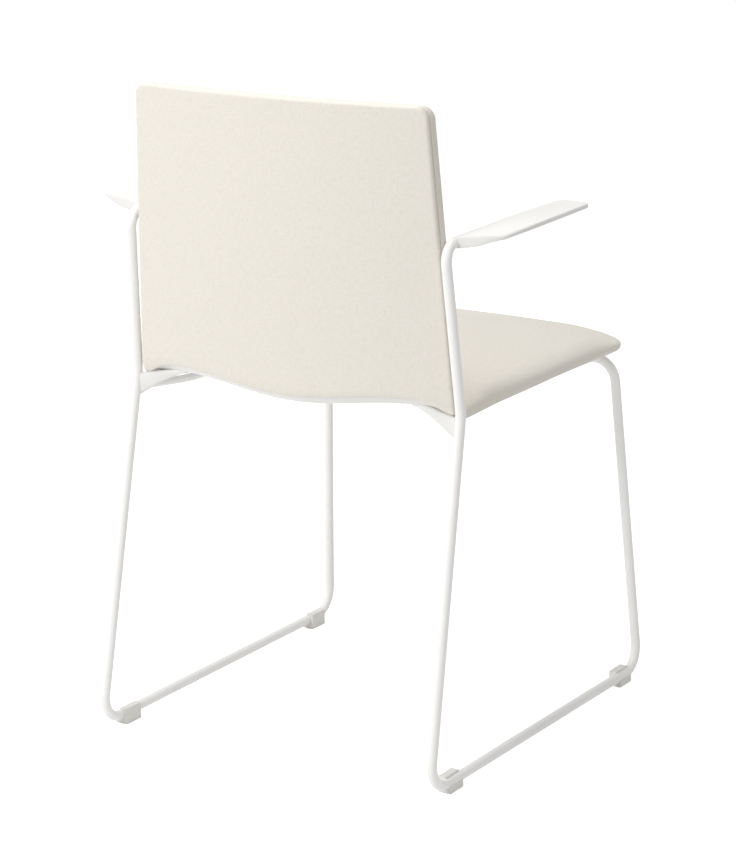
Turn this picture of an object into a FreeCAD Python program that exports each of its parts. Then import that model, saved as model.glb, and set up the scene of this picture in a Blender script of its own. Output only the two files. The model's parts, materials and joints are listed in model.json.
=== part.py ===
"""Visitor chair on a bent-rod sled base, with an upholstered shell and moulded arms.

Millimetres, +Z up. The sitter faces -Y and +X is the sitter's left. The origin lies on
the floor at the middle of the footprint.
"""
import FreeCAD, Part
import math
import os
from FreeCAD import Placement, Rotation, Vector

doc = FreeCAD.newDocument("VisitorChair")

# Driving dimensions
DIMENSIONS = {
    "rod_diameter": 13.0,
    "rod_height": 12.0,
    "runner_rear_splay": 20.0,
    "runner_front_splay": 23.0,
    "runner_rear": 283.0,
    "runner_front": 275.0,
    "floor_bend": 32.0,
    "kink_splay": 13.0,
    "kink_back": 200.0,
    "kink_rise": 17.0,
    "kink_bend": 70.0,
    "arm_splay": 3.0,
    "arm_back": 224.0,
    "arm_rise": 227.0,
    "arm_bend": 22.0,
    "cross_inset": 1.0,
    "cross_front": 233.0,
    "cross_drop": 2.0,
    "cross_bend": 30.0,
    "cross_joint_inset": 41.0,
    "rail_diameter": 10.0,
    "rail_height": 443.0,
    "rail_rear_inset": 25.0,
    "rail_bend_back": 145.0,
    "rail_bend": 80.0,
    "rail_front_inset": 58.0,
    "brace_back": 60.0,
    "tab_width": 24.0,
    "tab_reach": 32.0,
    "tab_thickness": 3.0,
    "tab_front": 150.0,
    "tab_rear": 105.0,
    "screw_diameter": 6.0,
    "screw_inset": 21.0,
    "screw_length": 13.0,
    "head_diameter": 11.0,
    "head_height": 3.5,
    "insert_diameter": 9.0,
    "insert_length": 9.0,
    "boss_diameter": 16.0,
    "shell_thickness": 6.0,
    "shell_standoff": 6.0,
    "shell_front": 268.0,
    "shell_back": 220.0,
    "back_rise": 377.0,
    "shell_lean": 4.4,
    "shell_bend": 28.0,
    "shell_half": 221.0,
    "back_dish": 22.0,
    "seat_dish": 5.0,
    "top_inset": 21.0,
    "top_corner": 16.0,
    "ear_drop": 9.0,
    "ear_rise": 20.0,
    "ear_width": 18.0,
    "ear_thickness": 7.0,
    "smile_middle": 11.0,
    "smile_shoulder": 16.0,
    "smile_peak": 27.0,
    "smile_end": 13.0,
    "soft_gap": 0.3,
    "seat_pad_gap": 0.8,
    "seat_pad_inset": 1.0,
    "seat_pad_front": 283.0,
    "seat_corner": 38.0,
    "seat_pad_thickness": 25.0,
    "back_pad_thickness": 19.0,
    "pad_edge_share": 0.45,
    "pad_overhang": 6.0,
    "panel_thickness": 6.0,
    "arm_blade_front": 12.0,
    "arm_blade_thickness": 6.5,
    "arm_blade_rise": 22.0,
    "arm_blade_splay": 28.0,
    "arm_blade_width": 44.0,
    "arm_flare": 30.0,
    "arm_corner": 12.0,
    "spigot_diameter": 8.0,
    "spigot_length": 26.0,
    "glide_length": 32.0,
    "glide_back": 228.0,
    "glide_wall": 4.0,
    "glide_top": 21.0,
    "grub_diameter": 4.0,
}

# Heights that follow the rails', and widths that follow the shell's, so the pieces keep together
FOLLOWING = {
    "cross_height": "=rail_height - cross_drop",
    "kink_height": "=rail_height + kink_rise",
    "arm_height": "=rail_height + arm_rise",
    "arm_blade_top": "=arm_height + arm_blade_rise",
    "shell_under": "=rail_height + shell_standoff",
    "shell_top": "=shell_under + back_rise",
    "pad_top": "=shell_top + pad_overhang",
    "arm_half": "=shell_half + arm_splay",
    "kink_half": "=shell_half + kink_splay",
    "runner_rear_half": "=shell_half + runner_rear_splay",
    "runner_front_half": "=shell_half + runner_front_splay",
    "cross_half": "=shell_half - cross_inset",
    "cross_joint": "=shell_half - cross_joint_inset",
    "rail_rear_half": "=shell_half - rail_rear_inset",
    "rail_front_half": "=shell_half - rail_front_inset",
    "top_half": "=shell_half - top_inset",
    "seat_pad_half": "=shell_half - seat_pad_inset",
    "arm_blade_inner": "=arm_half + arm_blade_splay",
    "arm_blade_outer": "=arm_blade_inner + arm_blade_width",
}

sheet = doc.addObject("Spreadsheet::Sheet", "sizes")
for row, (alias, value) in enumerate({**DIMENSIONS, **FOLLOWING}.items(), start=1):
    sheet.set(f"A{row}", alias)
    sheet.set(f"B{row}", str(value))
    sheet.setAlias(f"B{row}", alias)
doc.recompute()


def size(alias):
    """The sheet's value in millimetres."""
    return float(getattr(sheet, alias))


def bind(target, **expressions):
    """Bind each property of an object to an expression in the sheet's cells."""
    for name, expression in expressions.items():
        target.setExpression(name, expression)
    return target


def cylinder(name, radius, height, placement):
    """A cylinder whose radius and height are expressions."""
    made = doc.addObject("Part::Cylinder", name)
    bind(made, Radius=radius, Height=height)
    made.Placement = placement
    return made


def box(name, length, width, height, corner):
    """A box whose sides are expressions, from its lowest corner."""
    made = doc.addObject("Part::Box", name)
    bind(made, Length=length, Width=width, Height=height)
    made.Placement = Placement(corner, Rotation())
    return made


def fuse(name, pieces):
    """One solid from several touching ones."""
    made = doc.addObject("Part::MultiFuse", name)
    made.Shapes = pieces
    return made


def cut(name, base, tool):
    """The base less the tool."""
    made = doc.addObject("Part::Cut", name)
    made.Base = base
    made.Tool = tool
    return made


nodes = {}


def keep(label, made):
    """Name a sub-part; the name is the node's."""
    made.Label = label
    nodes[label] = made
    return made


def feature(label, shape):
    """A free-form sub-part whose shape comes from the sheet's sizes."""
    made = doc.addObject("Part::Feature", label)
    made.Shape = shape
    made.Placement = Placement()
    return keep(label, made)


def biggest(shape):
    """The largest solid of a shape, with its faces outward."""
    solid = max(shape.Solids, key=lambda one: abs(one.Volume))
    return solid.reversed() if solid.Volume < 0 else solid


def mirrored(point, side):
    """A point of the left half, or its twin on the right half."""
    return Vector(point[0] * side, point[1], point[2])


SIDES = {"left": 1, "right": -1}


# Bent rods

def bent_wire(points, radii):
    """Straight runs joined by tangent arcs, one radius for each inner point."""
    edges = []
    start = points[0]
    for index, radius in enumerate(radii, start=1):
        corner = points[index]
        before = (points[index - 1] - corner).normalize()
        after = (points[index + 1] - corner).normalize()
        half = before.getAngle(after) / 2
        setback = radius / math.tan(half)
        bisector = (before + after).normalize()
        first = corner + before * setback
        middle = corner + bisector * (radius / math.sin(half) - radius)
        last = corner + after * setback
        edges.append(Part.LineSegment(start, first).toShape())
        edges.append(Part.Arc(first, middle, last).toShape())
        start = last
    edges.append(Part.LineSegment(start, points[-1]).toShape())
    return Part.Wire(edges)


def rod(points, radii, diameter):
    """A round rod along a bent route."""
    route = bent_wire(points, radii)
    start = route.Edges[0]
    circle = Part.makeCircle(diameter / 2, points[0], start.tangentAt(start.FirstParameter))
    return route.makePipe(Part.Face(Part.Wire(circle)))


def side_rod_points(side):
    """Arm, post, rear leg, runner, front leg and the return under the seat."""
    left = [
        (size("arm_half"), size("arm_back") - size("arm_bend") - 2, size("arm_height")),
        (size("arm_half"), size("arm_back"), size("arm_height")),
        (size("kink_half"), size("kink_back"), size("kink_height")),
        (size("runner_rear_half"), size("runner_rear"), size("rod_height")),
        (size("runner_front_half"), -size("runner_front"), size("rod_height")),
        (size("cross_half"), -size("cross_front"), size("cross_height")),
        (size("cross_joint"), -size("cross_front"), size("cross_height")),
    ]
    return [mirrored(point, side) for point in left]


def spigot(side, diameter, length):
    """The turned-down end of the rod, inside the armrest."""
    start = side_rod_points(side)[0]
    return Part.makeCylinder(diameter / 2, length, start, Vector(0, -1, 0))


def grub(side, below):
    """The set screw up through the neck into the spigot; below is how far under the neck it starts."""
    start = side_rod_points(side)[0]
    low = start.z - size("rod_diameter") / 2 - below
    foot = Vector(start.x, start.y - size("spigot_length") / 2, low)
    return Part.makeCylinder(size("grub_diameter") / 2, start.z - low, foot)


def side_rod(side, diameter):
    """The whole side of the frame as one bent rod."""
    bends = [size("arm_bend"), size("kink_bend"), size("floor_bend"), size("floor_bend"), size("cross_bend")]
    return biggest(rod(side_rod_points(side), bends, diameter))


side_rods = {}
for name, side in SIDES.items():
    bar = side_rod(side, size("rod_diameter"))
    pin = spigot(side, size("spigot_diameter"), size("spigot_length"))
    side_rods[name] = feature(f"{name}_side_rod", biggest(bar.fuse(pin).cut(grub(side, 5))))

along_x = Rotation(Vector(0, 1, 0), 90)
crossbar = keep("front_crossbar", cylinder(
    "front_crossbar", "sizes.rod_diameter / 2", "2 * sizes.cross_joint",
    Placement(Vector(-size("cross_joint"), -size("cross_front"), size("cross_height")), along_x)))
doc.recompute()


# Seat rails, brace and shell tabs

def leg_at(height, side):
    """The rear leg's middle at a height."""
    upper, lower = side_rod_points(side)[2:4]
    return lower + (upper - lower) * ((height - lower.z) / (upper.z - lower.z))


def rail_half(back):
    """Half the distance between the rails at a distance behind the middle."""
    share = (back + size("cross_front")) / (size("rail_bend_back") + size("cross_front"))
    return size("rail_front_half") + share * (size("rail_rear_half") - size("rail_front_half"))


rails = {}
for name, side in SIDES.items():
    route = [
        leg_at(size("rail_height") - 3, side),
        mirrored((size("rail_rear_half"), size("rail_bend_back"), size("rail_height")), side),
        mirrored((size("rail_front_half"), -size("cross_front"), size("rail_height")), side),
    ]
    bar = biggest(rod(route, [size("rail_bend")], size("rail_diameter")))
    bar = biggest(bar.cut(side_rods[name].Shape).cut(crossbar.Shape))
    rails[name] = feature(f"{name}_seat_rail", bar)

brace = Part.makeCylinder(
    size("rail_diameter") / 2, rail_half(size("brace_back")),
    Vector(0, size("brace_back"), size("rail_height")), Vector(1, 0, 0))
brace = biggest(brace.cut(rails["left"].Shape))
feature("rear_crossbar", biggest(brace.fuse(brace.mirror(Vector(0, 0, 0), Vector(1, 0, 0)))))


def tab_places():
    """Name, side and distance behind the middle of each shell tab."""
    for name, side in SIDES.items():
        yield f"{name}_front", name, side, -size("tab_front")
        yield f"{name}_rear", name, side, size("tab_rear")


def screw_place(side, back):
    """The middle of a shell screw, in plan."""
    return side * (rail_half(back) - size("screw_inset")), back


tab_top = size("rail_height") + size("tab_thickness") / 2
tab_under = tab_top - size("tab_thickness")
for label, name, side, back in tab_places():
    reach = size("tab_reach")
    outer = rail_half(back)
    low_x = outer - reach if side > 0 else -outer
    plate = box(f"plate_{label}", "sizes.tab_reach", "sizes.tab_width", "sizes.tab_thickness",
                Vector(low_x, back - size("tab_width") / 2, tab_under))
    middle = screw_place(side, back)
    hole = cylinder(f"hole_{label}", "sizes.screw_diameter / 2 + 0.3", "sizes.tab_thickness + 2",
                    Placement(Vector(middle[0], middle[1], tab_under - 1), Rotation()))
    drilled = cut(f"drilled_{label}", plate, hole)
    keep(f"{label}_tab", cut(f"{label}_tab", drilled, rails[name]))


# The moulded shell

lean = math.tan(math.radians(size("shell_lean")))


def dish(x):
    """How far the back comes forward, and how far the seat rises, at a distance from the middle."""
    share = (x / size("shell_half")) ** 2
    return size("back_dish") * share, size("seat_dish") * share


def back_line(x, height, layer=0.0):
    """Y of the shell's rear face at a height; a layer lies in front of it by its thickness."""
    return size("shell_back") - dish(x)[0] + (height - size("shell_under")) * lean - layer


def shell_path(x, layer):
    """Points of the seat line, the bend and the back line, a layer above the underside."""
    low = size("shell_under") + dish(x)[1]
    radius = size("shell_bend")
    angle = math.radians(90 + size("shell_lean")) / 2
    center = Vector(x, back_line(x, low) - radius / math.tan(angle), low + radius)
    inner = radius - layer
    turn = math.radians(size("shell_lean"))
    first = center + Vector(0, 0, -inner)
    last = center + Vector(0, inner * math.cos(turn), -inner * math.sin(turn))
    middle_turn = math.radians(-90 - size("shell_lean")) / 2
    middle = center + Vector(0, inner * math.cos(middle_turn), inner * math.sin(middle_turn))
    front = Vector(x, -size("shell_front"), low + layer)
    top = last + Vector(0, lean, 1) * (size("shell_top") + size("shell_bend") - last.z)
    return front, first, middle, last, top


def bend_top():
    """The height at which the bend has turned into the back."""
    return size("shell_under") + size("shell_bend")


def shell_section(x, under_layer, upper_layer):
    """A closed ribbon between two layers."""
    low = shell_path(x, under_layer)
    high = shell_path(x, upper_layer)
    return Part.Wire([
        Part.LineSegment(low[0], low[1]).toShape(),
        Part.Arc(low[1], low[2], low[3]).toShape(),
        Part.LineSegment(low[3], low[4]).toShape(),
        Part.LineSegment(low[4], high[4]).toShape(),
        Part.LineSegment(high[4], high[3]).toShape(),
        Part.Arc(high[3], high[2], high[1]).toShape(),
        Part.LineSegment(high[1], high[0]).toShape(),
        Part.LineSegment(high[0], low[0]).toShape(),
    ])


def shell_sheet(under_layer, upper_layer, half):
    """The dished sheet, as wide as asked."""
    stations = [half * step / 4 for step in range(-4, 5)]
    return Part.makeLoft([shell_section(x, under_layer, upper_layer) for x in stations], True)


def half_width(height, grow=0.0):
    """Half the back's width at a height."""
    share = (height - size("shell_under")) / (size("shell_top") - size("shell_under"))
    return size("shell_half") + share * (size("top_half") - size("shell_half")) + grow


def rounded_prism(corners, radii, direction):
    """An outline with rounded corners, extruded."""
    count = len(corners)
    edges = []
    ends = []
    for index, radius in enumerate(radii):
        corner = corners[index]
        before = (corners[index - 1] - corner).normalize()
        after = (corners[(index + 1) % count] - corner).normalize()
        half = before.getAngle(after) / 2
        setback = radius / math.tan(half)
        bisector = (before + after).normalize()
        middle = corner + bisector * (radius / math.sin(half) - radius)
        ends.append((corner + before * setback, middle, corner + after * setback, radius))
    for index, (first, middle, last, radius) in enumerate(ends):
        if radius > 0:
            edges.append(Part.Arc(first, middle, last).toShape())
        edges.append(Part.LineSegment(last, ends[(index + 1) % count][0]).toShape())
    return Part.Face(Part.Wire(edges)).extrude(direction)


def back_outline(grow, top, bottom):
    """The back's outline seen from behind, as a prism through the whole depth."""
    depth = 2 * size("shell_back")
    corners = [
        Vector(half_width(top, grow), 0, top), Vector(-half_width(top, grow), 0, top),
        Vector(-half_width(bottom, grow), 0, bottom), Vector(half_width(bottom, grow), 0, bottom),
    ]
    rounding = size("top_corner") + grow
    return rounded_prism(corners, [rounding, rounding, 0, 0], Vector(0, depth, 0))


def seat_outline(grow):
    """The seat's outline in plan, as a prism through the whole height below the back."""
    front = -size("shell_front") - grow
    half = size("shell_half") + grow
    front_half = half - size("shell_thickness")
    rear = size("shell_back") + size("shell_bend")
    low = size("shell_under") - size("shell_bend")
    corners = [
        Vector(-half, rear, low), Vector(half, rear, low),
        Vector(front_half, front, low), Vector(-front_half, front, low),
    ]
    height = Vector(0, 0, bend_top() - low)
    return rounded_prism(corners, [0, 0, size("seat_corner"), size("seat_corner")], height)


sheet_solid = shell_sheet(0, size("shell_thickness"), size("shell_half"))
outline = back_outline(0, size("shell_top"), bend_top() - size("shell_thickness")).fuse(seat_outline(0))
shell = biggest(sheet_solid.common(outline))

for name, side in SIDES.items():
    post_side = size("kink_half") - size("rod_diameter") / 2 + 0.5
    back = back_line(size("shell_half"), size("shell_under")) - size("shell_thickness")
    ear = Part.Face(Part.makePolygon([
        Vector(side * (size("shell_half") - size("ear_width")), back, size("shell_under") + size("ear_rise")),
        Vector(side * post_side, back, size("shell_under") + size("ear_rise")),
        Vector(side * post_side, back, size("shell_under") - size("ear_drop")),
        Vector(side * (size("shell_half") - size("ear_width")), back, size("shell_under") + size("ear_rise")),
    ])).extrude(Vector(0, size("ear_thickness"), 0))
    shell = shell.fuse(ear)
for label, name, side, back in tab_places():
    middle = screw_place(side, back)
    height = size("shell_under") + dish(middle[0])[1] + 2 - tab_top
    boss = Part.makeCylinder(size("boss_diameter") / 2, height, Vector(middle[0], middle[1], tab_top))
    shell = shell.fuse(boss)
for label, name, side, back in tab_places():
    middle = screw_place(side, back)
    pocket = Part.makeCylinder(size("insert_diameter") / 2, size("insert_length"),
                               Vector(middle[0], middle[1], tab_top))
    shell = shell.cut(pocket)
for name in SIDES:
    shell = shell.cut(side_rods[name].Shape).cut(rails[name].Shape)
feature("shell", biggest(shell))


# Inserts and screws that hold the shell

inserts = []
screws = []
for label, name, side, back in tab_places():
    middle = screw_place(side, back)
    seat = Placement(Vector(middle[0], middle[1], tab_top), Rotation())
    body = cylinder(f"insert_{label}", "sizes.insert_diameter / 2", "sizes.insert_length", seat)
    bore = cylinder(f"thread_{label}", "sizes.screw_diameter / 2", "sizes.insert_length", seat)
    inserts.append(cut(f"bushing_{label}", body, bore))
    head_low = Vector(middle[0], middle[1], tab_under - size("head_height"))
    head = cylinder(f"head_{label}", "sizes.head_diameter / 2", "sizes.head_height",
                    Placement(head_low, Rotation()))
    shank = cylinder(f"shank_{label}", "sizes.screw_diameter / 2", "sizes.screw_length",
                     Placement(head_low, Rotation()))
    socket = cylinder(f"socket_{label}", "sizes.screw_diameter / 3", "sizes.head_height / 2",
                      Placement(head_low, Rotation()))
    screws.append(cut(f"screw_{label}", fuse(f"blank_{label}", [head, shank]), socket))


def group(label, pieces):
    """Identical small pieces in one node, each its own solid."""
    made = doc.addObject("Part::Compound", label)
    made.Links = pieces
    return keep(label, made)


group("shell_inserts", inserts)
group("shell_screws", screws)


# Upholstery

def lens(points_low, points_high):
    """A closed section between two arcs, with rounded ends."""
    end_right = (points_low[2] + points_high[2]) / 2
    end_left = (points_low[0] + points_high[0]) / 2
    right = Vector(end_right)
    left = Vector(end_left)
    thickness = (points_high[2] - points_low[2]).Length
    outward = Vector(thickness * 0.4, 0, 0)
    return Part.Wire([
        Part.Arc(points_low[0], points_low[1], points_low[2]).toShape(),
        Part.Arc(points_low[2], right + outward, points_high[2]).toShape(),
        Part.Arc(points_high[2], points_high[1], points_high[0]).toShape(),
        Part.Arc(points_high[0], left - outward, points_low[0]).toShape(),
    ])


def back_layer(height, half, behind, edge, middle):
    """A level section of a back pad: how far behind the rear face it starts, and its two thicknesses."""
    inner = half - 0.4 * edge
    rear = [Vector(x, back_line(x, height, -behind), height) for x in (-inner, 0, inner)]
    front = [point - Vector(0, deep, 0) for point, deep in zip(rear, (edge, middle, edge))]
    return lens(rear, front)


shell_keep_out = shell_sheet(-size("soft_gap"), size("shell_thickness") + size("soft_gap"),
                             size("shell_half") + 12)


END_DEPTHS = (0, 2, 5, 9, 14, 20)


def left_over(depth, radius):
    """Share of the full size that a rounded end has, a depth in from its tip."""
    reach = min(depth / radius, 1)
    return math.sqrt(1 - (1 - reach) ** 2)


def corner_loss(depth, radius):
    """How much narrower a rounded corner makes an outline, a depth in from its tip."""
    return radius * (1 - left_over(depth, radius))


def back_pad():
    """The front pad of the back, crowned, with drawn-in sides and a rounded top."""
    thick = size("back_pad_thickness")
    top = size("pad_top")
    bottom = bend_top() - 4
    buried = size("shell_thickness") + 1
    levels = [bottom + (top - 30 - bottom) * step / 8 for step in range(9)]
    levels += [top - depth for depth in reversed(END_DEPTHS)]
    sections = []
    for height in levels:
        along = (height - bottom) / (top - bottom)
        end = max(left_over(top - height, 16), 0.35)
        crown = thick * end * (1 + 0.25 * math.sin(math.pi * along) - 0.2 * along)
        half = half_width(height, 3 - corner_loss(top - height, size("top_corner")))
        sections.append(back_layer(height, half, -1, buried + 0.7 * crown, buried + crown))
    return Part.makeLoft(sections, True, True)


def rear_panel():
    """The padded panel on the shell's rear face, down to the wavy lower edge."""
    top = size("pad_top")
    bottom = size("shell_under") - 6
    levels = [bottom + (top - 30 - bottom) * step / 6 for step in range(7)]
    levels += [top - depth for depth in reversed(END_DEPTHS)]
    sections = []
    for height in levels:
        thick = size("panel_thickness") * max(left_over(top - height, 10), 0.4)
        half = half_width(height, 2.5 - corner_loss(top - height, size("top_corner")))
        sections.append(back_layer(height, half, thick, thick * 0.9 + 2, thick + 2))
    return Part.makeLoft(sections, True, True)


def seat_layer(back, half, low, edge, middle):
    """An upright section of the seat pad."""
    inner = half - 0.4 * edge
    under = [Vector(x, back, low + dish(x)[1]) for x in (-inner, 0, inner)]
    upper = [point + Vector(0, 0, deep) for point, deep in zip(under, (edge, middle, edge))]
    return lens(under, upper)


def seat_pad():
    """The seat pad, crowned, with a rounded front edge and drawn-in sides."""
    thick = size("seat_pad_thickness")
    low = size("shell_under") + size("shell_thickness") + size("seat_pad_gap")
    nose = -size("seat_pad_front")
    rear = size("shell_back") + 5
    places = [nose + depth for depth in END_DEPTHS]
    places += [nose + 30 + (rear - nose - 30) * step / 8 for step in range(9)]
    sections = []
    for back in places:
        depth = back - nose
        along = depth / (rear - nose)
        end = max(left_over(depth, 20), 0.35)
        crown = thick * end * (1.05 - 0.3 * math.sin(0.75 * math.pi * along) ** 2)
        half = size("seat_pad_half") - 6 * (1 - along) - corner_loss(depth, size("seat_corner"))
        lift = 0.3 * thick * (1 - end)
        sections.append(seat_layer(back, half, low + lift, 0.8 * crown, crown))
    return Part.makeLoft(sections, True, True)


post_keep_out = [side_rod(side, size("rod_diameter") + 2 * size("soft_gap")) for side in SIDES.values()]


def clear_of_frame(shape):
    """The pad less the posts beside it."""
    for post in post_keep_out:
        shape = shape.cut(post)
    return biggest(shape)


seat_solid = clear_of_frame(seat_pad().cut(shell_keep_out))
wide = 2 * size("kink_half")
above = Part.makeBox(2 * wide, wide, wide, Vector(-wide, size("shell_back") / 2, bend_top() - 3))
seat_solid = biggest(seat_solid.cut(above))
feature("seat_pad", seat_solid)
back_solid = clear_of_frame(back_pad().cut(shell_keep_out))
back_solid = biggest(back_solid.cut(seat_solid))
feature("back_pad", back_solid)


def smile_prism():
    """Everything below the rear panel's wavy lower edge."""
    low = size("shell_under")
    front = size("shell_back") / 2
    half = size("kink_half")
    marks = [(half, size("smile_end")), (0.75 * half, size("smile_peak")),
             (0.45 * half, size("smile_shoulder"))]
    marks = [(-x, rise) for x, rise in marks] + [(0, size("smile_middle"))] + marks[::-1]
    wave = Part.BSplineCurve()
    wave.interpolate([Vector(x, front, low + rise) for x, rise in marks])
    left_edge = Vector(marks[0][0], front, low + marks[0][1])
    right_edge = Vector(marks[-1][0], front, low + marks[-1][1])
    deep = Vector(0, 0, -3 * size("smile_end"))
    edges = [
        wave.toShape(),
        Part.LineSegment(right_edge, right_edge + deep).toShape(),
        Part.LineSegment(right_edge + deep, left_edge + deep).toShape(),
        Part.LineSegment(left_edge + deep, left_edge).toShape(),
    ]
    return Part.Face(Part.Wire(edges)).extrude(Vector(0, 2 * front, 0))


panel = rear_panel().cut(shell_keep_out)
panel = clear_of_frame(panel.cut(smile_prism()))
feature("rear_panel", panel)


# Armrests

def rounded_bar(back, inner, outer, low, high):
    """An upright section across the arm, with fully rounded corners."""
    radius = min(0.48 * (high - low), 0.48 * (outer - inner))
    corners = [Vector(inner, back, low), Vector(outer, back, low), Vector(outer, back, high),
               Vector(inner, back, high)]
    edges = []
    ends = []
    for index, corner in enumerate(corners):
        before = (corners[index - 1] - corner).normalize() * radius
        after = (corners[(index + 1) % 4] - corner).normalize() * radius
        middle = corner + (before + after) * (1 - math.sqrt(0.5))
        ends.append((corner + before, middle, corner + after))
    for index, (first, middle, last) in enumerate(ends):
        edges.append(Part.Arc(first, middle, last).toShape())
        edges.append(Part.LineSegment(last, ends[(index + 1) % 4][0]).toShape())
    return Part.Wire(edges)


def armrest():
    """The left armrest: a round neck that flares outward into a thin blade."""
    center = size("arm_half")
    radius = size("rod_diameter") / 2
    rear = side_rod_points(1)[0].y
    level = size("arm_height")
    top = size("arm_blade_top")
    thin = size("arm_blade_thickness")
    front = -size("arm_blade_front")
    inner = size("arm_blade_inner")
    outer = size("arm_blade_outer")
    flare = size("arm_flare")

    def inner_edge(back):
        return center - radius + (inner - center + radius) * (rear - back) / (rear - front)

    def top_face(back):
        return top - (top - level - radius - 4) * (back - front) / (rear - front)

    stations = []
    for step in (0, 0.1, 0.25, 0.45, 0.7, 1.0):
        back = rear - flare * step
        spread = math.sin(0.5 * math.pi * step) ** 0.7
        far = center + radius + (outer - 8 - center - radius) * spread
        high = level + radius + (top_face(back) - level - radius) * spread
        stations.append((back, inner_edge(back), far, level - radius + 3 * step * step, high))
    for share, thick in ((0.2, 11.0), (0.35, 8.5), (0.55, 7.0), (0.8, thin)):
        back = rear - flare + share * (front - rear + flare)
        far = outer - 8 * (1 - share)
        stations.append((back, inner_edge(back), far, top_face(back) - thick, top_face(back)))
    for depth in (14, 9, 5, 2, 0):
        back = front + depth
        loss = corner_loss(depth, size("arm_corner"))
        slim = 0.35 * thin * (1 - left_over(depth, 3))
        stations.append((back, inner_edge(back) + loss, outer - loss, top_face(back) - thin + slim,
                         top_face(back) - slim))
    return Part.makeLoft([rounded_bar(*station) for station in stations], True, True)


left_arm = armrest()
for name, side in SIDES.items():
    arm = left_arm if side > 0 else left_arm.mirror(Vector(0, 0, 0), Vector(1, 0, 0))
    arm = arm.cut(spigot(side, size("spigot_diameter"), size("spigot_length"))).cut(grub(side, 5))
    feature(f"{name}_armrest", biggest(arm))
    feature(f"{name}_arm_screw", grub(side, -0.5))


# Floor glides

def runner_at(back, side):
    """The runner's middle at a distance behind the chair's middle."""
    rear, front = side_rod_points(side)[3:5]
    return rear + (front - rear) * ((rear.y - back) / (rear.y - front.y))


for name, side in SIDES.items():
    for end, back in (("front", -size("glide_back")), ("rear", size("glide_back"))):
        label = f"{name}_{end}_glide"
        middle = runner_at(back, side)
        wall = size("glide_wall")
        inner = size("rod_diameter") / 2 + wall
        low_x = middle.x - inner if side > 0 else middle.x - inner + wall
        block = box(f"block_{label}", "sizes.rod_diameter + sizes.glide_wall", "sizes.glide_length",
                    "sizes.glide_top", Vector(low_x, back - size("glide_length") / 2, 0))
        mouth_x = middle.x if side > 0 else middle.x - 20
        mouth = box(f"mouth_{label}", "20", "sizes.glide_length + 2", "20",
                    Vector(mouth_x, back - size("glide_length") / 2 - 1, size("rod_height") - 1))
        keep(label, cut(label, cut(f"open_{label}", block, mouth), side_rods[name]))


# Check and write
doc.recompute()
os.makedirs("parts", exist_ok=True)
for made in doc.Objects:
    if "Invalid" in made.State or "Error" in made.State:
        raise RuntimeError(f"{made.Label} failed: {made.State}")
for label, made in nodes.items():
    if made.Shape.isNull() or not made.Shape.isValid():
        raise RuntimeError(f"{label} has no valid shape")
for label, made in nodes.items():
    made.Shape.exportStep(f"parts/{label}.step")
    bounds = made.Shape.BoundBox
    print(f"{label:20s} solids {len(made.Shape.Solids)} volume {made.Shape.Volume:12.1f} "
          f"x {bounds.XMin:7.1f} {bounds.XMax:7.1f} y {bounds.YMin:7.1f} {bounds.YMax:7.1f} "
          f"z {bounds.ZMin:6.1f} {bounds.ZMax:6.1f}")
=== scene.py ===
# %% [markdown]
# # A visitor chair, seen from behind
# The chair is a bent-rod sled frame that carries one moulded shell, padded and covered on both
# faces. The rods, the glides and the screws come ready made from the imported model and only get
# their finish here. The shell, the covers and the armrests are made here as smooth surfaces.

# %% Load the fixed frame
import json
import math

import bmesh
import bpy
import numpy as np
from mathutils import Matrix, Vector


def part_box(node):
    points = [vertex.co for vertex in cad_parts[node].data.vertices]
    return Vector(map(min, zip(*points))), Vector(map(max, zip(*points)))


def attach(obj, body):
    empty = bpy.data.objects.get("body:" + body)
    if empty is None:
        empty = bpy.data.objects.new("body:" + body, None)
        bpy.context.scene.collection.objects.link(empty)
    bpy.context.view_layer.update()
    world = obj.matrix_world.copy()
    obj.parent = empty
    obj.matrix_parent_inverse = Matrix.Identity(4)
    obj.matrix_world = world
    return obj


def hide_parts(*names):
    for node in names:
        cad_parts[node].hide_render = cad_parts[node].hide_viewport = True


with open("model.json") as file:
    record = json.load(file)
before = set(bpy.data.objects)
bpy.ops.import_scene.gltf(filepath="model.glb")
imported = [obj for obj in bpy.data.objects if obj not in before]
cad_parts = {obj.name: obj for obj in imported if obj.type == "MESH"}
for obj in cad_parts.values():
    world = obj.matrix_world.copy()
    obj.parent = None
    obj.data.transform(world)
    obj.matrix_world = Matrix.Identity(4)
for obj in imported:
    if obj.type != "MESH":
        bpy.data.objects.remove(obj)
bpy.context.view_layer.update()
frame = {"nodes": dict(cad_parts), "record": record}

# %% [markdown]
# ## The shell's measures
# The soft pieces follow the shell, so its few sizes are written down once, in metres. In profile
# the shell is a seat line, a bend and a back line that leans back a little. The underside is 1 mm
# clear of the rails.

# %% Sizes of the shell
RAIL_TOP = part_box("left_seat_rail")[1][2]
STANDOFF = 0.001
UNDER = RAIL_TOP + STANDOFF
SHELL = 0.006
SHELL_BACK = 0.220
SHELL_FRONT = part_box("shell")[0][1]
SHELL_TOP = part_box("shell")[1][2]
BEND = 0.028
LEAN = math.radians(4.4)
HALF = 0.221
TOP_HALF = 0.200
BACK_DISH = 0.022
WAVE_PEAK = 0.165
WAVE_RISE = 0.014
PAD_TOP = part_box("back_pad")[1][2]
PAD_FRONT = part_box("seat_pad")[0][1]
print("shell under", round(UNDER, 4), "front", SHELL_FRONT, "top", SHELL_TOP)


# %% [markdown]
# ## Grids
# The shell, the pads and the armrests are smooth all over. They could be modelled by hand from a
# box with a Subdivision Surface, but a formula keeps every size exact and both sides alike. So
# each one is a grid of points, one for each pair of two parameters. These helpers turn a grid
# into quads, keep a UV map in metres for the weave, and can join the last column to the first,
# which turns a strip into a tube.

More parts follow.
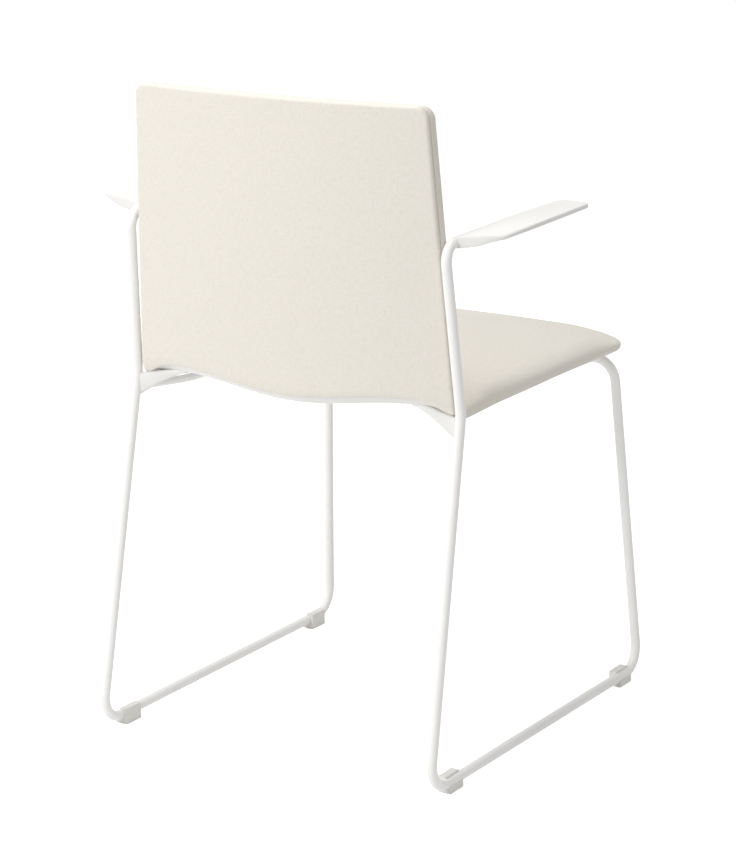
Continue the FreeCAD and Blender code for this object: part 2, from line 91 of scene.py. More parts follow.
# %% Grid to mesh
def grid_faces(rows, columns, around):
    """Quads of a grid as index rows; around joins the last column to the first."""
    index = np.arange(rows * columns).reshape(rows, columns)
    left = index if around else index[:, :-1]
    right = np.roll(index, -1, axis=1) if around else index[:, 1:]
    return np.stack([left[:-1], right[:-1], right[1:], left[1:]], axis=-1).reshape(-1, 4)


def sheets_mesh(name, sheets):
    """One mesh from several grids of (points, uv, around), welded where they meet."""
    points, quads, maps, start = [], [], [], 0
    for grid, uv, around in sheets:
        rows, columns = grid.shape[:2]
        faces = grid_faces(rows, columns, around)
        points.append(grid.reshape(-1, 3))
        quads.append(faces + start)
        maps.append(uv.reshape(-1, 2)[faces.ravel()])
        start += rows * columns
    mesh = bpy.data.meshes.new(name)
    mesh.from_pydata(np.concatenate(points).tolist(), [], np.concatenate(quads).tolist())
    layer = mesh.uv_layers.new(name="weave")
    layer.data.foreach_set("uv", np.concatenate(maps).astype(np.float32).ravel())
    weld(mesh)
    return mesh


def weld(mesh, distance=2e-6):
    """Merge doubled points, drop faces without area and turn the rest outwards."""
    work = bmesh.new()
    work.from_mesh(mesh)
    bmesh.ops.remove_doubles(work, verts=work.verts, dist=distance)
    bmesh.ops.dissolve_degenerate(work, edges=work.edges, dist=distance)
    bmesh.ops.recalc_face_normals(work, faces=work.faces)
    work.to_mesh(mesh)
    work.free()
    mesh.polygons.foreach_set("use_smooth", np.ones(len(mesh.polygons), dtype=bool))
    mesh.update()


print("a grid of 3 by 4 points has", len(grid_faces(3, 4, False)), "quads")

# %% [markdown]
# ## Placing a piece
# Nothing on this chair moves, so every new piece rides on its one body. A piece may be shown in
# place of plain solids, which are then hidden. The list keeps each piece's slot, so that one loop
# can put the finishes on later.

# %% Place a piece
MADE = []


def place(name, mesh, slot, *nodes):
    """Put a piece in the scene, riding on the chair and shown in place of the named nodes."""
    piece = bpy.data.objects.new(name, mesh)
    bpy.context.scene.collection.objects.link(piece)
    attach(piece, "root")
    if nodes:
        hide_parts(*nodes)
    MADE.append((piece, slot))
    print(f"{name}: {len(mesh.vertices)} points, {len(mesh.polygons)} faces")
    return piece


# %% [markdown]
# ## The shell's wave and dish
# Across its width the back comes forward with the square of the distance from the middle. The
# underside of the seat rises in a long wave from the middle to two peaks, and turns down again at
# the sides. One extruded profile would have neither, so both are functions of the place across.

# %% Wave and dish
PAST_SIDE = 1.2
SIDE_DROP = 0.010
SEAT_CURL = 0.004
CURL_FULL = 0.24
WAVE_START = 0.36
BEND_TURN = math.pi / 2 - LEAN
BEND_BACK = BEND / math.tan((math.pi / 2 + LEAN) / 2)
SEAT_RUN = SHELL_BACK - BEND_BACK - SHELL_FRONT
BEND_RUN = (BEND - SHELL) * BEND_TURN
BACK_RUN = (PAD_TOP - UNDER - BEND + (BEND - SHELL) * math.sin(LEAN)) / math.cos(LEAN)
NOSE_RUN = SHELL_FRONT - PAD_FRONT


def smooth(share):
    """The smooth step 3s2 - 2s3, held at 0 and 1 outside its range."""
    held = np.clip(share, 0, 1)
    return held * held * (3 - 2 * held)


def past_peak(x):
    """Distance past the wave's peak, as a share of the way to the shell's side."""
    return np.clip((np.abs(x) - WAVE_PEAK) / (HALF - WAVE_PEAK), 0, PAST_SIDE)


def underside(x):
    """How far the underside rises: rise (1 - cos(pi x / peak)) / 2, then down as a parabola."""
    inside = WAVE_RISE * (1 - np.cos(math.pi * np.minimum(np.abs(x) / WAVE_PEAK, 1))) / 2
    return inside - SIDE_DROP * past_peak(x) ** 2


def rise_at(walked, x):
    """Rise along the walk: none at the nose, a curl (x / half)2, then the wave at the bend."""
    curl = SEAT_CURL * (x / HALF) ** 2 * smooth(walked / CURL_FULL)
    return curl + (underside(x) - curl) * smooth((walked - WAVE_START) / (SEAT_RUN - WAVE_START))


def dish(x):
    """How far the back comes forward: depth times (x / half)2."""
    return BACK_DISH * (x / HALF) ** 2


def half_width(height):
    """Half the shell's width: straight from the seat's rear to the back's top."""
    return HALF + (height - UNDER) / (SHELL_TOP - UNDER) * (TOP_HALF - HALF)


def bend_middle(x):
    """Y and Z of the bend's centre line."""
    rise = underside(x)
    return SHELL_BACK - BEND_BACK - dish(x) + rise * math.tan(LEAN), UNDER + rise + BEND


print("the underside rises", [round(float(underside(x)), 4) for x in (0, WAVE_PEAK, HALF)],
      "m at the middle, the peak and the side")

# %% [markdown]
# ## The shell's two faces
# The pads lie on the shell, so each of its faces is a function that gives points and, for each
# point, the direction away from the shell. `front_face` walks along the seat, round the bend and
# up the back: a position is the distance walked from the front edge. `rear_face` takes a height
# instead, because the rear panel has only the back and part of the bend.

# %% Faces of the shell
DROP_LIMIT = BEND * 0.99


def front_face(walked, x):
    """Points and outward directions of the face a sitter would touch.

    A straight run along the seat, an arc of radius bend - thickness, and a straight run up the
    back that ends at the same height right across.
    """
    center_y, center_z = bend_middle(x)
    radius = BEND - SHELL
    on_seat = SHELL_FRONT + walked * (center_y - SHELL_FRONT) / SEAT_RUN
    turn = np.clip((walked - SEAT_RUN) / radius, 0, BEND_TURN)
    bend_end = center_z - radius * math.sin(LEAN)
    up = np.clip(walked - SEAT_RUN - BEND_RUN, 0, None) / BACK_RUN * (PAD_TOP - bend_end)
    y = np.minimum(on_seat, center_y) + radius * np.sin(turn) + up * math.tan(LEAN)
    z = center_z - radius * np.cos(turn) + up - underside(x) + rise_at(walked, x)
    return np.stack([x, y, z], -1), np.stack([0 * x, -np.sin(turn), np.cos(turn)], -1)


def rear_face(height, x):
    """Points and outward directions of the face behind the sitter.

    The back line, and under the bend's centre the circle y = centre + sqrt(r2 - drop2).
    """
    center_y, center_z = bend_middle(x)
    join = center_z - BEND * math.sin(LEAN)
    drop = np.clip(center_z - height, BEND * math.sin(LEAN), DROP_LIMIT)
    y = center_y + np.sqrt(BEND ** 2 - drop ** 2) + np.clip(height - join, 0, None) * math.tan(LEAN)
    turn = np.arcsin(drop / BEND)
    return np.stack([x, y, height], -1), np.stack([0 * x, np.cos(turn), -np.sin(turn)], -1)


print("seat", round(SEAT_RUN, 3), "bend", round(BEND_RUN, 3), "back", round(BACK_RUN, 3), "m")

# %% [markdown]
# ## A padded cover
# A cover is a flat plan with rounded corners, laid on a face of the shell and filled out. Its
# middle is an ordinary grid. Around the middle runs a strip that reaches the outline, turns down
# the side and ends in a short lip. In the strip the height over the face follows a quarter
# circle, which gives the edge of a sewn pad. A Bevel would round the edge too, but by the same
# radius everywhere, and this pad is fuller at the nose than along the back.

# %% Strip around a plan
CORNER_STEPS = 14


def around_plan(walk, across):
    """Strip columns: inner place (walk, share of width) and outward direction, right round.

    Along an edge the place moves and the direction stays; at a corner it is the other way.
    """
    turns = np.linspace(0, math.pi / 2, CORNER_STEPS)[1:-1]
    ends = ((walk[0], 1), (walk[-1], 1), (walk[-1], -1), (walk[0], -1))
    edges = (
        (np.full(len(across), walk[0]), across), (walk, np.ones(len(walk))),
        (np.full(len(across), walk[-1]), across[::-1]), (walk[::-1], -np.ones(len(walk))),
    )
    places, shares, angles = [], [], []
    for side, ((along, share), end) in enumerate(zip(edges, ends)):
        places += [along, np.full(len(turns), end[0])]
        shares += [share, np.full(len(turns), end[1])]
        angles += [np.full(len(along), side * math.pi / 2), side * math.pi / 2 + turns]
    angle = np.concatenate(angles)
    return np.concatenate(places), np.concatenate(shares), -np.cos(angle), np.sin(angle)


print("a strip round 5 by 3 points has",
      len(around_plan(np.linspace(0, 1, 5), np.linspace(-1, 1, 3))[0]), "columns")

# %% [markdown]
# ## The rings of a cover
# The strip is built ring by ring, from the middle outwards, over the edge and back in below. One
# ring is the whole outline at one inset and one height, so the mesh's loops run along the edge,
# as they should where light slides over a rounding.

# %% Cover from a plan
FLOAT = 0.0004
TOP_RINGS, EDGE_RINGS, UNDER_RINGS = 6, 11, 8


def cover_mesh(name, walk, across, width, corner, bulge, face, thick, base, low, lip, under,
               floor_at=FLOAT):
    """A pad over a face, closed underneath.

    In the strip, d is the distance in from the outline: on top d = bulge (1 - sin a) and the
    height falls as cos a; below, a small quarter circle leads to the lip, which ends in a step.
    """
    walked, share, go_along, go_across = around_plan(walk, across)
    inset = corner(walked)
    round_in = bulge(walked)
    inner_x = share * (width(walked) - inset)

    def lifted(inward, height):
        """Points of one ring, and the plan positions they stand over."""
        along = walked + go_along * (inset - inward)
        x = inner_x + go_across * (inset - inward)
        point, outward = face(along, x)
        full = thick(along, x)
        rise = height(full)
        return point + outward * rise[:, None], inset - inward, rise

    rings = []
    for step in np.linspace(0, 1, TOP_RINGS)[:-1]:
        rings.append(lifted(inset + (round_in - inset) * step, lambda full: full))
    for turn in np.linspace(0, math.pi / 2, EDGE_RINGS):
        rings.append(lifted(round_in * (1 - math.sin(turn)),
                            lambda full: base + (full - base) * math.cos(turn)))
    round_under = under(walked)
    for turn in np.linspace(0, math.pi / 2, UNDER_RINGS):
        rings.append(lifted(round_under * (1 - math.cos(turn)),
                            lambda full: low + round_under * (1 - math.sin(turn))))
    inner_lip = round_under + lip
    for level in (low, floor_at):
        rings.append(lifted(inner_lip, lambda full: full * 0 + level))
    for step in (0.5, 1.0):
        rings.append(lifted(inner_lip + (inset - inner_lip) * step,
                            lambda full: full * 0 + floor_at))

    points = np.stack([ring[0] for ring in rings])
    out = np.stack([ring[1] for ring in rings])
    rise = np.stack([ring[2] for ring in rings])
    steps = np.hypot(np.diff(out, axis=0), np.diff(rise, axis=0))
    reach = np.vstack([out[:1] * 0, np.cumsum(steps, axis=0)])
    strip_uv = np.stack([inner_x + go_across * reach, walked + go_along * reach], -1)

    along, side_share = np.meshgrid(walk, across, indexing="ij")
    x = side_share * (width(along) - corner(along))
    point, outward = face(along, x)
    plan_uv = np.stack([x, along], -1)
    top = point + outward * thick(along, x)[..., None]
    bottom = point + outward * floor_at
    return sheets_mesh(name, [(points, strip_uv, True), (top, plan_uv, False),
                              (bottom, plan_uv, False)])


# %% [markdown]
# ## The front cover
# One piece of cloth runs from the seat's nose through the bend and up to the top of the back.
# The pad is thickest on the seat, thin in the bend, where the cloth is drawn down, and thin again
# along the back's sides. The lip wraps the shell's edge. A cloth simulation could settle such a
# cover, but foam as firm as this hardly creases, so the thickness is written as a function.

# %% Thickness of the front pad
WRAP = 0.0057
SEAT_TAPER = 0.006
NOSE_INSET, TOP_INSET = 0.042, 0.017
INSET_START = 0.25
SEAT_THICK, SIDE_FALL = 0.029, 0.008
SIDE_START, SIDE_ZONE = 0.62, 0.42
NOSE_FALL, NOSE_CORNER_FALL, NOSE_ZONE = 0.007, 0.006, 0.13
BEND_THICK, BEND_SIDE_FALL, BEND_FOLLOWS = 0.013, 0.004, 0.7
BACK_THICK, BACK_SIDE_FALL = 0.017, 0.009
INTO_BEND, INTO_BEND_ZONE, OUT_OF_BEND_ZONE = 0.085, 0.080, 0.110
BULGE_SHARE, NOSE_BULGE, NOSE_BULGE_ZONE = 0.58, 0.006, 0.1
EDGE_ROUND, NOSE_ROUND, NOSE_ROUND_ZONE = 0.0016, 0.006, 0.3
WALK_END = SEAT_RUN + BEND_RUN + BACK_RUN


def front_width(walked):
    """Half the front cover's width at a distance walked."""
    height = UNDER + np.clip(walked - SEAT_RUN - BEND_RUN, 0, None) * math.cos(LEAN)
    on_seat = HALF - SEAT_TAPER * np.clip((SEAT_RUN - walked) / SEAT_RUN, 0, None)
    return np.where(walked > SEAT_RUN, half_width(height), on_seat) + WRAP


def front_inset(walked):
    """Corner size of the front cover, from the nose to the top."""
    share = smooth((walked - INSET_START) / (SEAT_RUN - INSET_START))
    return NOSE_INSET + (TOP_INSET - NOSE_INSET) * share


def front_thick(walked, x):
    """Thickness of the front pad: a full seat, a drawn-down bend, a back with a low crown.

    Each part is a middle thickness minus falls to the nose and the sides, the last with share2;
    smooth steps lead from one part to the next.
    """
    share = np.clip(np.abs(x) / HALF, 0, 1)
    at_nose = 1 - smooth((walked + NOSE_RUN) / NOSE_ZONE)
    nose = (NOSE_FALL + NOSE_CORNER_FALL * share ** 2) * at_nose
    side = SIDE_FALL * smooth((share - SIDE_START) / SIDE_ZONE)
    seat = SEAT_THICK - rise_at(walked, x) - nose - side
    bend = BEND_THICK - BEND_FOLLOWS * underside(x) - BEND_SIDE_FALL * share ** 2
    back = BACK_THICK - BACK_SIDE_FALL * share ** 2
    low_part = seat + (bend - seat) * smooth((walked - SEAT_RUN + INTO_BEND) / INTO_BEND_ZONE)
    return low_part + (back - low_part) * smooth((walked - SEAT_RUN - BEND_RUN) / OUT_OF_BEND_ZONE)


def front_bulge(walked):
    """How far in from the outline the top starts to round off, more at the nose."""
    return BULGE_SHARE * front_inset(walked) + NOSE_BULGE * (1 - smooth(walked / NOSE_BULGE_ZONE))


def front_under(walked):
    """Radius of the rounding below the outline: full at the nose, small along the back."""
    return EDGE_ROUND + NOSE_ROUND * (1 - smooth(walked / NOSE_ROUND_ZONE))


print("the seat pad is", round(float(front_thick(SEAT_RUN / 2, 0.0)), 4), "m thick in the middle")

# %% [markdown]
# ## Making the front cover
# The grid's rows stand closer together in the bend, where the face turns, than on the two long
# runs.

# %% Front cover
ACROSS = np.linspace(-1, 1, 61)
BEND_ZONE = 0.03
SEAT_ROWS, BEND_ROWS, BACK_ROWS = 60, 46, 56
FRONT_BASE, FRONT_LIP, LIP_CLEAR = 0.003, 0.0015, 0.0002
seat_walk = np.linspace(-NOSE_RUN + NOSE_INSET, SEAT_RUN - BEND_ZONE, SEAT_ROWS)
bend_walk = np.linspace(SEAT_RUN - BEND_ZONE, SEAT_RUN + BEND_RUN + BEND_ZONE, BEND_ROWS)[1:]
back_walk = np.linspace(SEAT_RUN + BEND_RUN + BEND_ZONE, WALK_END - TOP_INSET, BACK_ROWS)[1:]
front_walk = np.concatenate([seat_walk, bend_walk, back_walk])
front_mesh = cover_mesh(
    "front_cover", front_walk, ACROSS, width=front_width, corner=front_inset, bulge=front_bulge,
    face=front_face, thick=front_thick, base=FRONT_BASE, low=-SHELL - LIP_CLEAR, lip=FRONT_LIP,
    under=front_under)
front = place("front_cover", front_mesh, "upholstery", "seat_pad", "back_pad")

# %% [markdown]
# ## The moulded shell
# The shell is the same plan once more, without padding: a sheet of even thickness under the front
# cover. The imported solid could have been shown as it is, but its underside is flat, and this one
# has the same wave as the covers.

# %% Shell
SHELL_IN = 0.0034
SHELL_NOSE = 0.012
SHELL_CORNER = 0.016
SHELL_FRONT_CORNER = 0.036
SHELL_CORNER_ZONE = 0.05
SHELL_SINK, SHELL_ROUND, SHELL_EDGE, SHELL_LIP = 0.0004, 0.0012, 0.0016, 0.008


def even(value):
    """A measure that is the same all over the plan."""
    return lambda walked, x=0.0: value + 0 * walked + 0 * x


def shell_inset(walked):
    """Corner size of the shell: rounder at the seat's front than at the back's top."""
    share = smooth((walked - SHELL_NOSE - SHELL_FRONT_CORNER) / SHELL_CORNER_ZONE)
    return SHELL_FRONT_CORNER + (SHELL_CORNER - SHELL_FRONT_CORNER) * share


shell_start = SHELL_NOSE + SHELL_FRONT_CORNER
shell_walk = np.concatenate([[shell_start], front_walk[front_walk > shell_start + 0.002]])
shell_mesh = cover_mesh(
    "moulded_shell", shell_walk, ACROSS, width=lambda walked: front_width(walked) - SHELL_IN,
    corner=shell_inset, bulge=even(SHELL_ROUND), face=front_face, thick=even(-SHELL_SINK),
    base=-SHELL_EDGE, low=-SHELL, lip=SHELL_LIP, under=even(SHELL_EDGE), floor_at=-SHELL)
place("moulded_shell", shell_mesh, "white_plastic", "shell")

# %% [markdown]
# ## Bosses
# Four round bosses under the shell stand on the rails' tabs, one over each screw. A Cylinder
# would serve, but a profile turned about its axis gives the foot its small chamfer at once.

# %% Bosses
BOSS_IN = 0.011
BOSS_RADIUS = 0.008
BOSS_SUNK = 0.002
FOOT_SHARE, FOOT_RISE = 0.92, 0.0006


def boss_mesh(name, middle, low, high, radius, count=40):
    """An upright cylinder with a chamfered foot: a radius profile turned about its axis."""
    turn = np.linspace(0, 2 * math.pi, count, endpoint=False)
    profile = [(0, low), (FOOT_SHARE, low), (1, low + FOOT_RISE), (1, high), (0, high)]
    share, z = np.array(profile).T[..., None]
    x = middle[0] + radius * share * np.cos(turn)
    y = middle[1] + radius * share * np.sin(turn)
    points = np.stack([x, y, z + 0 * turn], -1)
    return sheets_mesh(name, [(points, points[..., :2], True)])


for corner in ("left_front", "left_rear", "right_front", "right_rear"):
    low_corner, high_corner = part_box(f"{corner}_tab")
    inboard = low_corner[0] if corner.startswith("left") else high_corner[0]
    x = inboard + math.copysign(BOSS_IN, inboard)
    y = (low_corner[1] + high_corner[1]) / 2
    top = UNDER + float(rise_at(y - SHELL_FRONT, np.array(x))) + BOSS_SUNK
    boss = boss_mesh(f"{corner}_boss", (x, y), high_corner[2], top, BOSS_RADIUS)
    place(f"{corner}_boss", boss, "white_plastic")

# %% [markdown]
# ## Webs
# Two small webs tie the shell to the rear legs, and they show below the cloth on both sides. A
# flat plate with a Bevel would be as thin, but its edges would be straight, and these fall away in
# a bow. So a thin rounded section is carried outwards, and its upper and lower edge are curves.

# %% Webs
SIDES = (("left", 1), ("right", -1))
WEB_INNER, WEB_REAR = 0.163, 0.188
WEB_SPAN, WEB_SLANT = 0.068, 0.012
WEB_TOP, WEB_TOP_FALL = 0.468, 0.011
WEB_LOW, WEB_LOW_FALL = 0.463, 0.034
WEB_BOW = 1.4
WEB_COLUMNS = 16
WEB_DOWN = np.array([0.0, 0.12, 0.5, 0.88, 1.0, 1.0, 0.88, 0.5, 0.12, 0.0, 0.0])[:, None]
WEB_FACE = np.array([0.0035, 0.0045, 0.0048, 0.0045, 0.0035])
WEB_BEHIND = np.concatenate([WEB_FACE, -WEB_FACE, WEB_FACE[:1]])[:, None]


def web_mesh(name, side):
    """A three-cornered web between the shell's side and the rear leg, bowed along both edges.

    Rows go once round the section; both edges fall with reach to the power of the bow, and each
    end closes on its middle point.
    """
    reach = np.linspace(0, 1, WEB_COLUMNS)
    upper = WEB_TOP - WEB_TOP_FALL * reach ** WEB_BOW
    lower = WEB_LOW - WEB_LOW_FALL * reach ** WEB_BOW
    z = upper + (lower - upper) * WEB_DOWN
    y = WEB_REAR + WEB_SLANT * reach + WEB_BEHIND
    points = np.stack([side * (WEB_INNER + WEB_SPAN * reach + 0 * z), y, z], -1)
    inner_end = points[:, :1].mean(0, keepdims=True) + 0 * points[:, :1]
    outer_end = points[:, -1:].mean(0, keepdims=True) + 0 * points[:, -1:]
    points = np.concatenate([inner_end, points, outer_end], axis=1)
    return sheets_mesh(name, [(points, points[..., [0, 2]], False)])


for name, side in SIDES:
    place(f"{name}_web", web_mesh(f"{name}_web", side), "white_plastic")

# %% [markdown]
# ## The rear cover
# The rear panel lies on the shell's other face. Its lower edge follows the underside's wave a
# little above it, so that a narrow rim of the bare shell shows all along. The same function makes
# it, with heights in place of distances walked.

# %% Rear cover
WAVE_LOW = UNDER + 0.0145
REAR_TOP_INSET = 0.016
REAR_LOW_INSET = 0.010
CORNER_DROP = 0.009
REAR_EVEN = 0.0055
REAR_CROWN = 0.0022
REAR_BULGE, REAR_ROUND, REAR_BASE, REAR_LIP = 0.0038, 0.0014, 0.0022, 0.002
LOW_ZONE = 0.05
LOW_ROWS, HIGH_ROWS = 24, 50


def wave(x):
    """Height of the lower edge: the underside's wave, drawn down a little more at the corners."""
    return WAVE_LOW + underside(x) - CORNER_DROP * past_peak(x) ** 2


def rear_height(level, x):
    """True height of a plan level: the wave at the bottom, straight at the top."""
    share = (level - WAVE_LOW) / (PAD_TOP - WAVE_LOW)
    return wave(x) + share * (PAD_TOP - wave(x))


def rear_inset(level):
    """Corner size of the rear cover, from the lower edge to the top."""
    share = smooth((level - WAVE_LOW) / (PAD_TOP - WAVE_LOW))
    return REAR_LOW_INSET + (REAR_TOP_INSET - REAR_LOW_INSET) * share


def rear_thick(level, x):
    """Thickness of the rear padding: a crown (1 - (x / half)2) sin(pi level) on an even layer."""
    share = np.clip(x / HALF, -1, 1) ** 2
    upright = np.sin(math.pi * np.clip((level - WAVE_LOW) / (PAD_TOP - WAVE_LOW), 0, 1))
    return REAR_EVEN + REAR_CROWN * (1 - share) * upright


rear_walk = np.concatenate([
    np.linspace(WAVE_LOW + REAR_LOW_INSET, WAVE_LOW + LOW_ZONE, LOW_ROWS),
    np.linspace(WAVE_LOW + LOW_ZONE, PAD_TOP - REAR_TOP_INSET, HIGH_ROWS)[1:],
])
rear_mesh = cover_mesh(
    "rear_cover", rear_walk, ACROSS, width=lambda level: half_width(level) + WRAP,
    corner=rear_inset, bulge=even(REAR_BULGE),
    face=lambda level, x: rear_face(rear_height(level, x), x), thick=rear_thick,
    base=REAR_BASE, low=FLOAT, lip=REAR_LIP, under=even(REAR_ROUND))
rear = place("rear_cover", rear_mesh, "upholstery", "rear_panel")

# %% [markdown]
# ## Armrests
# Each armrest starts as the round of the rod and flares outward into a thin blade. Two sections
# could be bridged by hand, but the way from round to flat has to stay smooth. So it is a section
# swept forward: a rectangle with rounded corners, whose half sizes and corner radius change with
# the distance from the rod. This helper gives all the sections at once.

# %% Rounded section
def rounded_section(half_x, half_z, radius, arc=9, flat=6):
    """Rounded rectangles, one row for each set of sizes: four arcs joined by straight points."""
    columns = []
    for corner in range(4):
        turn = np.linspace(0, math.pi / 2, arc) + corner * math.pi / 2
        middle = turn.mean()
        x = np.sign(math.cos(middle)) * (half_x - radius)[:, None] + radius[:, None] * np.cos(turn)
        z = np.sign(math.sin(middle)) * (half_z - radius)[:, None] + radius[:, None] * np.sin(turn)
        columns.append(np.stack([x, z], -1))
    rows = []
    for corner in range(4):
        here, following = columns[corner], columns[(corner + 1) % 4]
        share = np.linspace(0, 1, flat)[None, 1:-1, None]
        rows += [here, here[:, -1:] + (following[:, :1] - here[:, -1:]) * share]
    return np.concatenate(rows, axis=1)


unit = np.ones(1)
print("a section has", rounded_section(unit, unit, unit / 2).shape[1], "points")

# %% [markdown]
# ## The two armrests
# The sizes tell how fast the section turns flat and square, how wide the blade gets and how its
# front corners are rounded. Left and right are the same array with the sign of X changed.

# %% Armrest
ARM_REAR = 0.204
ARM_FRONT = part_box("left_armrest")[0][1]
ARM_X = 0.224
ARM_Z = 0.670
ROD = 0.0065
BLADE_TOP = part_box("left_armrest")[1][2]
BLADE_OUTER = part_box("left_armrest")[1][0]
BLADE_INNER = 0.252
BLADE_THICK = 0.0065
FLARE = 0.016
ARM_RUN = ARM_REAR - ARM_FRONT
TIP_ZONE, TIP_CORNER, TIP_SLIM, TIP_LEAST = 0.014, 0.013, 0.003, 0.3
OUTER_TAPER = 0.008
TILT, TILT_ZONE = 0.0065, 0.050
FLAT_DEPTH, SQUARE_DEPTH, SQUARE = 0.10, 0.06, 0.2
THIN_DEPTH, THIN_START, THIN_ZONE = 0.09, 0.028, 0.036
FLARE_ROWS, BLADE_ROWS, TIP_ROWS = 26, 40, 14


def armrest_mesh(name, side):
    """One armrest. The flare is a quarter ellipse in plan, and the front corners are arcs.

    The top rises in a straight line with depth, and a tilt that fades towards the front lifts its
    outer side. The thickness goes from the rod's to the blade's by smooth steps of the depth and
    of the distance outward from the rod, whichever is further.
    """
    ease = 1 - np.cos(np.linspace(0, math.pi / 2, FLARE_ROWS))
    middle = np.linspace(FLARE, ARM_RUN - TIP_ZONE, BLADE_ROWS)
    tip = ARM_RUN - TIP_ZONE * (1 - np.cos(np.linspace(0, math.pi / 2, TIP_ROWS)))[::-1]
    depth = np.concatenate([ease * FLARE, middle[1:], tip[1:]])
    share = depth / ARM_RUN
    spread = np.sqrt(1 - (1 - np.clip(depth / FLARE, 0, 1)) ** 2)
    inner = ARM_X - ROD + (BLADE_INNER - ARM_X + ROD) * share
    outer = ARM_X + ROD + (BLADE_OUTER - OUTER_TAPER * (1 - share) - ARM_X - ROD) * spread
    ahead = ARM_RUN - depth
    loss = TIP_CORNER * (1 - np.sqrt(1 - (1 - np.clip(ahead / TIP_CORNER, 0, 1)) ** 2))
    slim = np.maximum(np.sqrt(1 - (1 - np.clip(ahead / TIP_SLIM, 0, 1)) ** 2), TIP_LEAST)
    half_x = (outer - inner) / 2 - loss
    half_z = ROD + (BLADE_THICK / 2 - ROD) * smooth(depth / FLAT_DEPTH)
    radius = np.minimum(half_z, half_x) * (1 - SQUARE * smooth(depth / SQUARE_DEPTH))
    section = rounded_section(half_x, half_z, radius)
    across = (inner + outer)[:, None] / 2 + section[..., 0]
    tilt = TILT * (1 - share)[:, None] * smooth((across - ARM_X) / TILT_ZONE)
    top = ARM_Z + ROD + (BLADE_TOP - ARM_Z - ROD) * share[:, None] + tilt
    thin = np.maximum(smooth(depth / THIN_DEPTH)[:, None],
                      smooth((across - ARM_X - THIN_START) / THIN_ZONE))
    thick = (2 * ROD + (BLADE_THICK - 2 * ROD) * thin) * slim[:, None]
    z = top - thick * (1 - section[..., 1] / half_z[:, None]) / 2
    z -= (1 - slim[:, None]) * BLADE_THICK / 2
    y = np.broadcast_to((ARM_REAR - depth)[:, None], z.shape)
    points = np.stack([side * across, y, z], -1)
    closed = np.concatenate([points[:1].mean(1, keepdims=True) + 0 * points[:1], points,
                             points[-1:].mean(1, keepdims=True) + 0 * points[-1:]])
    return sheets_mesh(name, [(closed, closed[..., :2], True)])


for name, side in SIDES:
    place(f"{name}_arm", armrest_mesh(f"{name}_arm", side), "white_plastic", f"{name}_armrest")

# %% [markdown]
# ## Node helpers
# The finishes share a few small node groups. A helper adds a node and links its inputs, so that
# each group reads from top to bottom.

# %% Material helpers
def group(name, inputs, outputs):
    """An empty shader group with its sockets; returns the group, its inlet and its outlet."""
    tree = bpy.data.node_groups.new(name, "ShaderNodeTree")
    for label, kind, value in inputs:
        socket = tree.interface.new_socket(label, in_out="INPUT", socket_type=kind)
        if value is not None:
            socket.default_value = value
    for label, kind in outputs:
        tree.interface.new_socket(label, in_out="OUTPUT", socket_type=kind)
    return tree, tree.nodes.new("NodeGroupInput"), tree.nodes.new("NodeGroupOutput")


def node(tree, kind, values=(), **settings):
    """Add a node, set its options, and link or set its numbered inputs."""
    made = tree.nodes.new(kind)
    for option, value in settings.items():
        setattr(made, option, value)
    for index, value in dict(values).items():
        if isinstance(value, bpy.types.NodeSocket):
            tree.links.new(value, made.inputs[index])
        else:
            made.inputs[index].default_value = value
    return made


def math_node(tree, operation, first, second=0.0, third=0.0):
    """One arithmetic step."""
    made = node(tree, "ShaderNodeMath", {0: first, 1: second, 2: third}, operation=operation)
    return made.outputs[0]


# %% [markdown]
# ## The weave
# A plain weave is a chessboard of crossings: warp on top in one field, weft in the next. Each
# thread is round across, and no two threads are quite the same shade or thickness. A picture of
# cloth would repeat and blur close up, so the threads are worked out from the UV map.

# %% Weave group
PITCH = 0.0014
WANDER, WANDER_SCALE = 0.9, 0.09
YARN_ROUND = 0.6
CREST, DIP = 0.55, 0.45
SHADE_SCALE, SHADE_STEP, ALONG = 0.7, 0.1, 0.25


